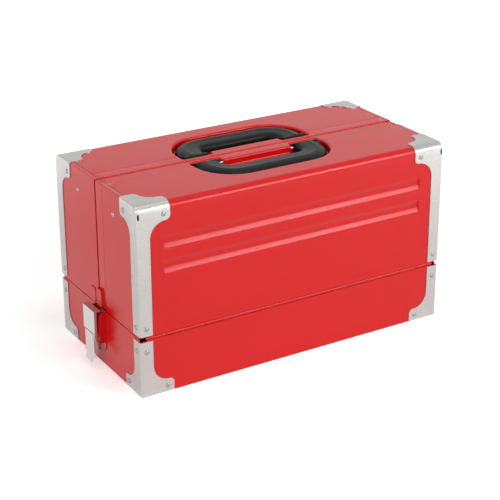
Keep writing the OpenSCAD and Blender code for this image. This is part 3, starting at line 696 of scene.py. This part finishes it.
@dataclass
class LidSkin:
    """A lid's pressed skin: long face with two ribs, round edge, and top with the handle's pocket."""

    case: Case
    side: Side
    pocket: Pocket
    half_x: float = 209.2
    edge_r: float = 9.0
    gap: float = 1.0
    roll_r: float = 1.4
    flange_h: float = 5.0
    skin_gap: float = 2.4
    rib_half: float = 183.0
    rib_h: float = 18.5
    rib_depth: float = 2.9
    rib_z: float = 152.5
    rib_pitch: float = 30.5
    ramp_h: float = 6.5
    ramp_bend: float = 1.3
    brow_h: float = 10.0
    crease_h: float = 2.2
    crease_depth: float = 0.5
    end_run: float = 1.5
    groove_depth: float = 2.5
    groove_w: float = 2.2
    band_w: float = 17.0
    band_drop: float = 0.8

    def ease(self, t: float) -> float:
        """Return a smooth step of t, clamped to 0 to 1."""
        t = min(max(t, 0.0), 1.0)
        return t * t * (3 - 2 * t)

    def rib_depth_at(self, x: float, z: float) -> float:
        """Return how far the ribs press the long face in at a point."""
        ends = self.ease((self.rib_half - abs(x)) / self.end_run)
        depth = 0.0
        for k in (0, 1):
            rise = z - self.rib_z - k * self.rib_pitch
            if 0 <= rise < self.rib_h:
                ramp = 1 - (1 - min(rise / self.ramp_h, 1.0)) ** self.ramp_bend
                depth = self.rib_depth * ramp * self.ease((self.rib_h - rise) / self.brow_h)
            elif -self.crease_h < rise < 0:
                steep = self.crease_h / 4
                share = -rise / steep if -rise < steep else (self.crease_h + rise) / (self.crease_h - steep)
                depth = self.crease_depth * share
        return depth * ends

    def columns(self) -> list[float]:
        """Return the X places of the long face's columns, fine near the ribs' ends."""
        fine = [self.rib_half - self.end_run * k / 5 for k in range(-1, 7)]
        coarse = [k * 17.0 for k in range(11)]
        half = sorted(set(coarse + fine + [self.half_x - 10, self.half_x]))
        return sorted({-x for x in half} | set(half))

    def rows(self) -> list[float]:
        """Return the Z places of the long face's rows, fine across the ribs."""
        low, high = self.case.seam_z + self.skin_gap, self.case.top_z - self.edge_r
        rows = {low, low + 4, high, high - 6}
        rows |= {low + (self.rib_z - 8 - low) * k / 5 for k in range(1, 6)}
        for k in (0, 1):
            lip = self.rib_z + k * self.rib_pitch
            rows |= {lip - self.crease_h * share for share in (1.5, 1.0, 0.75, 0.5, 0.25, 0.0)}
            rows |= {lip + self.ramp_h * s / 12 for s in range(1, 13)}
            rows |= {lip + self.rib_h - self.brow_h * (1 - s / 8) for s in range(9)}
            rows.add(lip + self.rib_h + 1.0)
        return sorted(rows)

    def long_face(self, shape: bmesh.types.BMesh) -> None:
        """Add the long face and the round edge above it to a bmesh."""
        columns = self.columns()
        half_d, top = self.case.half_d, self.case.top_z
        lines = [[(x, -half_d + self.rib_depth_at(x, z), z) for x in columns] for z in self.rows()]
        for k in range(1, 13):
            a = math.radians(90 * k / 12)
            y = -half_d + self.edge_r * (1 - math.cos(a))
            lines.append([(x, y, top - self.edge_r * (1 - math.sin(a))) for x in columns])
        add_grid(shape, lines)

    def top_face(self, shape: bmesh.types.BMesh) -> None:
        """Add the flat top round the pocket, and the pocket itself, to a bmesh."""
        top = self.case.top_z
        rings = [self.pocket.outline(grow) for grow, _ in self.pocket.profile()]
        rings = [self.pocket.outline(self.pocket.rim_r + 1.5)] + rings
        drops = [0.0] + [drop for _, drop in self.pocket.profile()]
        front = -self.case.half_d + self.edge_r
        back = -self.gap / 2 - self.roll_r
        edge = [(x, front) for x in self.columns()]
        edge += [(self.half_x, front * (1 - k / 6) + back * k / 6) for k in range(1, 6)]
        edge += [(x, back) for x in reversed(self.columns())]
        edge += [(-self.half_x, back * (1 - k / 6) + front * k / 6) for k in range(1, 6)]
        flat = [Vector(p) for p in edge + rings[0]]
        n = len(edge)
        loops = [(k, (k + 1) % n) for k in range(n)]
        m = len(rings[0])
        loops += [(n + k, n + (k + 1) % m) for k in range(m)]
        self.fill(shape, flat, loops, top, rings[0], False)
        layers = [[shape.verts.new(Vector((px, py, top - drop)) * MM) for px, py in ring]
                  for ring, drop in zip(rings, drops)]
        bridge(shape, layers)
        floor = [Vector(p) for p in rings[-1]]
        self.fill(shape, floor, [(k, (k + 1) % m) for k in range(m)], top - drops[-1], rings[-1], True)

    def fill(self, shape: bmesh.types.BMesh, flat: list[Vector], loops: list[tuple[int, int]], z: float,
             ring: Outline, within: bool) -> None:
        """Fill flat outlines at a height, keeping the faces within the ring or those outside it."""
        points, _, faces, _, _, _ = delaunay_2d_cdt(flat, loops, [], 0, 1e-4)
        corners = [shape.verts.new(Vector((p.x, p.y, z)) * MM) for p in points]
        for face in faces:
            middle = sum((points[k] for k in face), Vector((0, 0))) / len(face)
            if inside((middle.x, middle.y), ring) is within:
                shape.faces.new([corners[k] for k in face])

    def press_band(self, shape: bmesh.types.BMesh) -> None:
        """Sink the band along the front lid's free edge, or crease the rear lid along the same line."""
        line = -self.gap / 2 - self.band_w
        if self.side is Side.FRONT:
            far = -self.groove_w
            cross = [(far, 0.0), (far + 0.3, self.groove_depth), (-0.3, self.groove_depth), (0.0, self.band_drop)]
        else:
            cross = [(-0.6, 0.0), (0.0, 0.5), (0.6, 0.0)]
        for along, _ in cross:
            everything = [*shape.verts, *shape.edges, *shape.faces]
            bmesh.ops.bisect_plane(shape, geom=everything, plane_co=Vector((0, line + along, 0)) * MM,
                                   plane_no=(0, 1, 0), dist=1e-7)
        floor = (self.case.top_z - self.pocket.depth) * MM
        for vert in shape.verts:
            share = (vert.co.z - floor) / (self.pocket.depth * MM)
            if share > 0.01:
                vert.co.z -= self.drop_at(vert.co.y / MM - line, cross) * MM * share

    def drop_at(self, along: float, cross: list[tuple[float, float]]) -> float:
        """Return the drop at a place across the band's edge, from (place, drop) pairs in order."""
        if along <= cross[0][0]:
            return cross[0][1]
        for (a0, d0), (a1, d1) in zip(cross, cross[1:]):
            if along <= a1:
                return d0 + (d1 - d0) * (along - a0) / (a1 - a0)
        return cross[-1][1]

    def free_edge(self, shape: bmesh.types.BMesh) -> None:
        """Roll the top's free edge over into a narrow flange."""
        back = -self.gap / 2
        top = self.case.top_z - (self.band_drop if self.side is Side.FRONT else 0.0)
        turns = [math.radians(90 * k / 4) for k in range(5)]
        profile = [(back - self.roll_r * (1 - math.sin(a)), top - self.roll_r * (1 - math.cos(a))) for a in turns]
        profile.append((back, top - self.roll_r - self.flange_h))
        add_grid(shape, [[(x, y, z) for x in self.columns()] for y, z in profile])

    def build(self, finishes: Finishes) -> bpy.types.Object:
        """Return the finished skin."""
        shape = bmesh.new()
        self.top_face(shape)
        self.press_band(shape)
        self.free_edge(shape)
        self.long_face(shape)
        bmesh.ops.remove_doubles(shape, verts=shape.verts, dist=SKIN_WELD)
        if self.side is Side.REAR:
            bmesh.ops.transform(shape, matrix=Matrix.Scale(-1, 4, (0, 1, 0)), verts=shape.verts)
        bmesh.ops.recalc_face_normals(shape, faces=shape.faces)
        probe = max(shape.faces, key=lambda face: face.calc_center_median().z)
        if probe.normal.z < 0:
            bmesh.ops.reverse_faces(shape, faces=shape.faces)
        name = f"{self.side.word}_lid_skin"
        skin = from_bmesh(name + "_pressed", shape)
        skin.data.polygons.foreach_set("use_smooth", [True] * len(skin.data.polygons))
        skin.data.set_sharp_from_angle(angle=FOLD_ANGLE)
        wall = skin.modifiers.new("sheet", "SOLIDIFY")
        wall.thickness = self.case.sheet_t * MM
        wall.offset = -1
        wall.use_even_offset = True
        weight = skin.modifiers.new("flat_faces", "WEIGHTED_NORMAL")
        weight.keep_sharp = True
        finish_piece(skin, f"{self.side.word}_lid", "red_paint", finishes, [name])
        return skin


def inside(point: tuple[float, float], loop: Outline) -> bool:
    """Return whether a point lies inside a closed outline."""
    x, y = point
    found = False
    for (x0, y0), (x1, y1) in zip(loop, loop[1:] + loop[:1]):
        if (y0 > y) != (y1 > y) and x < (x1 - x0) * (y - y0) / (y1 - y0) + x0:
            found = not found
    return found


@dataclass
class HandleHalf:
    """One half of the folding handle: a grip and two arms swept with one section."""

    side: Side
    half_x: float = 88.0
    reach: float = 71.0
    width: float = 33.0
    thick: float = 11.4
    corner_r: float = 46.0
    bottom: float = 228.6
    pivot_y: float = 14.0
    end_r: float = 5.4

    def section(self) -> list[tuple[float, float]]:
        """Return the section from the inner side (0) to the outer side, as (across, up) pairs."""
        w, t = self.width, self.thick
        corners = [(1.2, 0.0), (w / 2, 0.0), (w - 1.2, 0.0), (w - 0.1, 1.2), (w, 3.2), (w - 0.4, 5.4),
                   (w - 1.6, 7.4), (w - 3.8, 9.2), (w - 6.4, 10.3), (w - 9.4, 10.9), (w - 11.2, 11.25),
                   (w - 12.0, 11.4), (w - 13.2, 11.35), (w - 14.4, 11.0), (w * 0.36, 10.75), (6.0, 10.3),
                   (3.4, 9.6), (1.6, 8.4), (0.5, 6.6), (0.0, 4.4), (0.1, 1.2)]
        return [(a, b * t / 11.4) for a, b in corners]

    def path(self) -> list[tuple[float, float, float, float]]:
        """Return the frames along the front half: inner-side point and outward direction."""
        turn_x, turn_y = self.half_x - self.corner_r, -self.reach + self.corner_r
        inner_r = self.corner_r - self.width
        frames = [(self.half_x - self.width, -self.pivot_y, 1.0, 0.0),
                  (self.half_x - self.width, -self.pivot_y - 2.0, 1.0, 0.0)]
        steps = 18
        for k in range(steps + 1):
            a = math.radians(-90 * k / steps)
            out = (math.cos(a), math.sin(a))
            frames.append((turn_x + inner_r * out[0], turn_y + inner_r * out[1], *out))
        mirrored = [(-px, py, -ox, oy) for px, py, ox, oy in reversed(frames)]
        middle = [(turn_x * (1 - 2 * k / 6), turn_y - inner_r, 0.0, -1.0) for k in range(1, 6)]
        return frames + middle + mirrored

    def build(self, finishes: Finishes) -> bpy.types.Object:
        """Return the finished handle half."""
        shape = bmesh.new()
        section = self.section()
        rings = []
        for px, py, ox, oy in self.path():
            ring = [shape.verts.new(Vector((px + a * ox, py + a * oy, self.bottom + b)) * MM) for a, b in section]
            rings.append(ring)
        bridge(shape, rings)
        for ring in (rings[0], rings[-1]):
            shape.faces.new(ring)
        for sign in (-1, 1):
            middle = sign * (self.half_x - self.width / 2)
            turn = Matrix.Translation(Vector((middle, -self.pivot_y, self.bottom + self.end_r)) * MM)
            turn = turn @ Matrix.Rotation(math.pi / 2, 4, "Y")
            bmesh.ops.create_cone(shape, cap_ends=True, segments=40, radius1=self.end_r * MM,
                                  radius2=self.end_r * MM, depth=(self.width - 0.6) * MM, matrix=turn)
        if self.side is Side.REAR:
            bmesh.ops.transform(shape, matrix=Matrix.Scale(-1, 4, (0, 1, 0)), verts=shape.verts)
        bmesh.ops.recalc_face_normals(shape, faces=shape.faces)
        half = from_bmesh(f"{self.side.word}_handle_half", shape)
        soften(half, 0.5, 2, 40)
        body = f"{self.side.word}_handle"
        finish_piece(half, body, "handle_plastic", finishes, [body])
        return half


@dataclass
class Rivets:
    """Where the rivets stand, in millimetres from the case's faces."""

    case: Case
    strip_x: float = 8.25
    strip_y: float = 10.2
    strip_rise: float = 13.0
    base_drop: float = 17.0
    flare_x: float = 34.5
    flare_y: float = 34.0
    lid_drop: float = 14.0
    base_rise: float = 8.0

    def on_faces(self, side: Side, rows: list[tuple[float, float, float, float]], far: float) -> list:
        """Return spots on a side's long face and both ends.

        Args:
            side: The long side.
            rows: Each (inset in X, inset in Y, height, stack on the long face).
            far: Stack under the heads on the end faces.

        Returns:
            Spots for RivetMaker.
        """
        spots = []
        half_l, half_d = self.case.length / 2, self.case.depth / 2
        for end in End:
            for inset_x, inset_y, z, stack in rows:
                face = Vector((end.value * (half_l - inset_x), side.value * half_d, z))
                spots.append((face, Vector((0, side.value, 0)), stack))
                cap = Vector((end.value * half_l, side.value * (half_d - inset_y), z))
                spots.append((cap, Vector((end.value, 0, 0)), far))
        return spots

    def base(self) -> list:
        """Return the base corner plates' rivets."""
        rows = [(self.strip_x, self.strip_y, self.case.seam_z - self.base_drop, 2.0),
                (self.flare_x, self.flare_y, self.base_rise, 2.0)]
        return [spot for side in Side for spot in self.on_faces(side, rows, 2.0)]

    def lid(self, side: Side) -> list:
        """Return one lid's corner plate rivets."""
        rows = [(self.strip_x, self.strip_y, self.case.seam_z + self.strip_rise, 3.0),
                (self.flare_x, self.flare_y, self.case.height - self.lid_drop, 2.0)]
        return self.on_faces(side, rows, 2.0)


class ToolBox:
    """The whole case, dressed piece by piece."""

    slot_in: float = 0.2
    slot_w: float = 2.4
    slot_h: float = 7.0
    slot_drop: float = 9.0
    slot_deep: float = 6.0
    band_line: float = 17.5
    groove_w: float = 2.2
    groove_deep: float = 1.6

    def __init__(self, finishes: Finishes) -> None:
        """Keep the finishes and the names of the nodes still to dress.

        Args:
            finishes: The finishes.
        """
        self.finishes = finishes
        self.case = Case()
        self.slots = node_slots()
        self.bodies = node_bodies()
        self.done: set[str] = set()

    def lids(self) -> None:
        """Build both lids' skins and the handle halves."""
        for side in Side:
            LidSkin(self.case, side, Pocket()).build(self.finishes)
            HandleHalf(side).build(self.finishes)
            self.done |= {f"{side.word}_lid_skin", f"{side.word}_handle"}

    def rivets(self) -> None:
        """Set the rivets of the corner plates and the lid ends."""
        maker, places = RivetMaker(), Rivets(self.case)
        steel = self.finishes["rivet_steel"]
        jobs = [("base_corner_rivets", "base", places.base())]
        for side in Side:
            jobs.append((f"{side.word}_lid_rivets", f"{side.word}_lid", places.lid(side)))
        for node, body, spots in jobs:
            piece = maker.make(node + "_domed", spots, steel)
            finish_piece(piece, body, "rivet_steel", self.finishes, [node])
            self.done.add(node)

    def hinges(self) -> None:
        """Make the leaves and knuckles of both long hinges."""
        maker = HingeMaker()
        paint = self.finishes["red_paint"]
        for side in Side:
            line = Vector((0, side.value * self.case.hinge_y, self.case.seam_z))
            for word, body, up, first in (("base", "base", -1, 0), ("lid", f"{side.word}_lid", 1, 1)):
                node = f"{side.word}_hinge_{word}_leaf"
                leaf = maker.make(node + "_rolled", line, up, first, paint)
                finish_piece(leaf, body, "red_paint", self.finishes, [node])
                self.done.add(node)

    def relieve(self, piece: bpy.types.Object, side: Side, end: End) -> None:
        """Cut the relief slot at the top of a lid corner's upright fold."""
        outer = self.case.half_l - self.slot_in
        near, far = sorted((end.value * outer, end.value * (outer - self.slot_w)))
        face = side.value * self.case.depth / 2
        low_y, high_y = sorted((face + side.value, face - side.value * self.slot_deep))
        top = self.case.height - self.slot_drop
        cut_box(piece, Vector((near, low_y, top - self.slot_h)), Vector((far, high_y, top)))

    def score(self, piece: bpy.types.Object, end: End) -> None:
        """Cut the band's groove down the front lid's end cap."""
        near, far = sorted((end.value * (self.case.half_l - self.groove_deep),
                            end.value * (self.case.half_l + CUT_CLEAR)))
        low = Vector((near, -self.band_line - self.groove_w, self.case.seam_z + CUT_CLEAR))
        cut_box(piece, low, Vector((far, -self.band_line, self.case.height + CUT_CLEAR)))

    def pressed_parts(self) -> None:
        """Give every other node a welded copy with rounded folds and softened edges."""
        widths = {"base_shell": 0.6, "latch": 0.25, "corner": 0.22, "tray": 0.4, "links": 0.35, "lid_end": 0.22}
        folds = {"corner_rivets": 0.0, "_corner_": 1.6, "lid_end": 1.5}
        for node in sorted(self.slots):
            if node in self.done:
                continue
            width = next((value for word, value in widths.items() if word in node), 0.2)
            fold = next((value for word, value in folds.items() if word in node), 0.0)
            piece = merged_copy(node, node + "_soft", fold)
            if node.startswith("lid_corner") or "_lid_end_" in node:
                side = Side.FRONT if "front" in node else Side.REAR
                end = End.LEFT if "left" in node else End.RIGHT
                self.relieve(piece, side, end)
                if side is Side.FRONT and "_lid_end_" in node:
                    self.score(piece, end)
            soften(piece, width)
            finish_piece(piece, self.bodies[node], self.slots[node], self.finishes, [node])

    def build(self) -> None:
        """Build the whole case."""
        for step in (self.lids, self.rivets, self.hinges, self.pressed_parts):
            step()


# ---------------------------------------------------------------- studio


@dataclass(frozen=True)
class Lamp:
    """A square soft lamp: where it hangs, its side in metres and its watts."""

    name: str
    place: tuple[float, float, float]
    size: float
    power: float


@dataclass
class Studio:
    """Floor, soft light and the camera."""

    lamps: tuple[Lamp, ...] = (
        Lamp("key", (1.15, -1.8, 1.1), 0.9, 21.0),
        Lamp("front", (0.3, -2.8, 1.2), 1.6, 3.0),
        Lamp("fill", (-2.4, -1.0, 1.0), 1.2, 19.0),
        Lamp("top", (0.1, -0.5, 2.3), 0.6, 9.0),
    )
    lamp_aim: tuple[float, float, float] = (0.0, 0.0, 0.12)

    camera_at: tuple[float, float, float] = (-0.8552, -1.4108, 0.8077)
    azimuth: float = -31.175
    elevation: float = 21.149
    roll: float = -0.175
    focal_px: float = 1397.7
    frame_px: float = 500.0
    shift_y: float = -0.1
    floor_size: float = 12.0
    sky: float = 0.34
    floor_glow: float = 0.48
    fade_from: float = 0.55
    fade_to: float = 1.1

    def camera(self) -> None:
        """Stand the camera at the viewing angle."""
        data = bpy.data.cameras.new("camera")
        data.sensor_width = 36.0
        data.lens = self.focal_px / self.frame_px * data.sensor_width
        data.shift_y = self.shift_y
        data.clip_start, data.clip_end = 0.01, 100.0
        camera = bpy.data.objects.new("camera", data)
        bpy.context.scene.collection.objects.link(camera)
        a, e = math.radians(self.azimuth), math.radians(self.elevation)
        back = Vector((math.sin(a) * math.cos(e), -math.cos(a) * math.cos(e), math.sin(e)))
        turn = (-back).to_track_quat("-Z", "Y").to_matrix().to_4x4()
        roll = Matrix.Rotation(math.radians(self.roll), 4, "Z")
        camera.matrix_world = Matrix.Translation(self.camera_at) @ turn @ roll
        bpy.context.scene.camera = camera

    def floor(self) -> None:
        """Lay a white floor."""
        shape = bmesh.new()
        bmesh.ops.create_grid(shape, x_segments=1, y_segments=1, size=self.floor_size)
        floor = from_bmesh("floor", shape)
        graph = Graph("white_floor")
        graph.shader.inputs["Base Color"].default_value = (0.93, 0.93, 0.93, 1)
        graph.shader.inputs["Roughness"].default_value = 0.8
        graph.shader.inputs["Emission Color"].default_value = (1, 1, 1, 1)
        seen = self.seen(graph.nodes, graph.links)
        reach = graph.add("ShaderNodeVectorMath", {}, {0: graph.coords}, operation="LENGTH")
        fade = graph.add("ShaderNodeMapRange", {1: self.fade_from, 2: self.fade_to, 3: self.floor_glow, 4: 1.0},
                         {0: reach.outputs["Value"]}, interpolation_type="SMOOTHSTEP")
        glow = graph.add("ShaderNodeMath", {}, {0: seen, 1: fade.outputs["Result"]}, operation="MULTIPLY")
        graph.feed("Emission Strength", glow.outputs[0])
        floor.data.materials.append(graph.material)

    def seen(self, nodes: bpy.types.Nodes, links: bpy.types.NodeLinks) -> bpy.types.NodeSocket:
        """Return 1 for rays from the camera, a reflection or through glass, else 0.

        Args:
            nodes: The tree's nodes.
            links: The tree's links.

        Returns:
            The socket.
        """
        path = nodes.new("ShaderNodeLightPath")
        total = path.outputs["Is Camera Ray"]
        for name in ("Is Glossy Ray", "Is Transmission Ray"):
            join = nodes.new("ShaderNodeMath")
            join.operation = "MAXIMUM"
            links.new(total, join.inputs[0])
            links.new(path.outputs[name], join.inputs[1])
            total = join.outputs[0]
        return total

    def sky_light(self) -> None:
        """Light the scene evenly, white where the camera or a reflection sees it."""
        world = bpy.data.worlds.new("studio")
        bpy.context.scene.world = world
        world.use_nodes = True
        nodes, links = world.node_tree.nodes, world.node_tree.links
        glow = nodes["Background"]
        glow.inputs["Color"].default_value = (1, 1, 1, 1)
        strength = nodes.new("ShaderNodeMapRange")
        strength.inputs["To Min"].default_value = self.sky
        strength.inputs["To Max"].default_value = 1.0
        links.new(self.seen(nodes, links), strength.inputs["Value"])
        links.new(strength.outputs["Result"], glow.inputs["Strength"])

    def hang(self, lamp: Lamp) -> None:
        """Hang a lamp that faces the case."""
        data = bpy.data.lights.new(lamp.name, "AREA")
        data.energy, data.size = lamp.power, lamp.size
        thing = bpy.data.objects.new(lamp.name, data)
        bpy.context.scene.collection.objects.link(thing)
        thing.location = lamp.place
        aim = Vector(self.lamp_aim) - Vector(lamp.place)
        thing.rotation_mode = "QUATERNION"
        thing.rotation_quaternion = aim.to_track_quat("-Z", "Y")

    def build(self) -> None:
        """Set up the studio."""
        self.camera()
        self.floor()
        self.sky_light()
        for lamp in self.lamps:
            self.hang(lamp)
        bpy.context.scene.view_settings.view_transform = "Standard"


def main() -> None:
    """Build the studio and the case."""
    logging.basicConfig(level=logging.INFO, format="%(name)s %(message)s")
    Studio().build()
    ToolBox(Finishes()).build()


if __name__ == "__main__":
    main()
